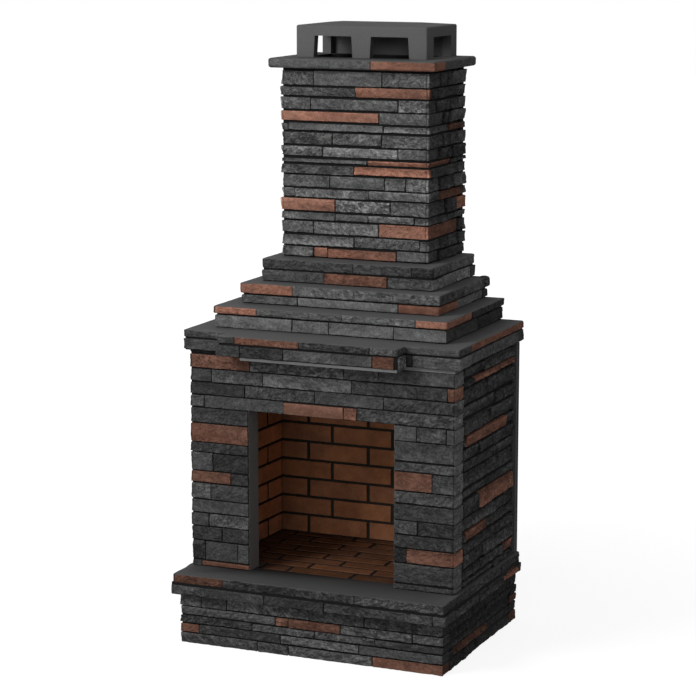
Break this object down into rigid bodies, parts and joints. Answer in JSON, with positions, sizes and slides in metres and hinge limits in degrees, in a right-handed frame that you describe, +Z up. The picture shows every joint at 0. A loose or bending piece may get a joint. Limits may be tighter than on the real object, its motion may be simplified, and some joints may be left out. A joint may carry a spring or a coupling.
{
  "type": "outdoor fireplace",
  "caption": "Free-standing outdoor wood fireplace of split-stone-faced concrete blocks, with a brick-lined firebox, a mantel, a stepped hood and a chimney with a cap.",
  "frame": {"origin": "on the ground, in the middle of the footprint's bounding box", "axes": "+Z up, -Y towards someone who faces the open firebox, +X to that person's right"},
  "size_m": [1.042, 0.8045, 2.183],
  "materials": {
    "base_front_panel": "split stone face, matt",
    "base_rear_panel": "split stone face, matt",
    "base_left_panel": "split stone face, matt",
    "base_right_panel": "split stone face, matt",
    "hearth_slab": "cast slab with smooth faces and a split stone course, matt",
    "facade_left_jamb": "split stone face, matt",
    "facade_right_jamb": "split stone face, matt",
    "facade_lintel": "split stone face, matt",
    "body_left_panel": "split stone face, matt",
    "body_right_panel": "split stone face, matt",
    "body_rear_panel": "split stone face, matt",
    "firebox_floor": "firebrick, matt",
    "firebox_threshold": "firebrick, matt",
    "firebox_left_wall": "firebrick, matt",
    "firebox_right_wall": "firebrick, matt",
    "firebox_back_wall": "firebrick, matt",
    "mantel_slab": "cast slab with smooth faces and a split stone course, matt",
    "hood_lower_block": "cast slab with smooth faces and a split stone course, matt",
    "hood_middle_block": "cast slab with smooth faces and a split stone course, matt",
    "hood_upper_block": "cast slab with smooth faces and a split stone course, matt",
    "chimney_lower_block": "split stone face, matt",
    "chimney_upper_block": "split stone face, matt",
    "chimney_crown": "smooth cast concrete, matt",
    "chimney_cap": "smooth cast concrete, matt"
  },
  "bodies": {
    "root": {"base_front_panel": "base_front_panel", "base_rear_panel": "base_rear_panel", "base_left_panel": "base_left_panel", "base_right_panel": "base_right_panel", "hearth_slab": "hearth_slab", "facade_left_jamb": "facade_left_jamb", "facade_right_jamb": "facade_right_jamb", "facade_lintel": "facade_lintel", "body_left_panel": "body_left_panel", "body_right_panel": "body_right_panel", "body_rear_panel": "body_rear_panel", "firebox_floor": "firebox_floor", "firebox_threshold": "firebox_threshold", "firebox_left_wall": "firebox_left_wall", "firebox_right_wall": "firebox_right_wall", "firebox_back_wall": "firebox_back_wall", "mantel_slab": "mantel_slab", "hood_lower_block": "hood_lower_block", "hood_middle_block": "hood_middle_block", "hood_upper_block": "hood_upper_block", "chimney_lower_block": "chimney_lower_block", "chimney_upper_block": "chimney_upper_block", "chimney_crown": "chimney_crown", "chimney_cap": "chimney_cap"}
  },
  "joints": []
}
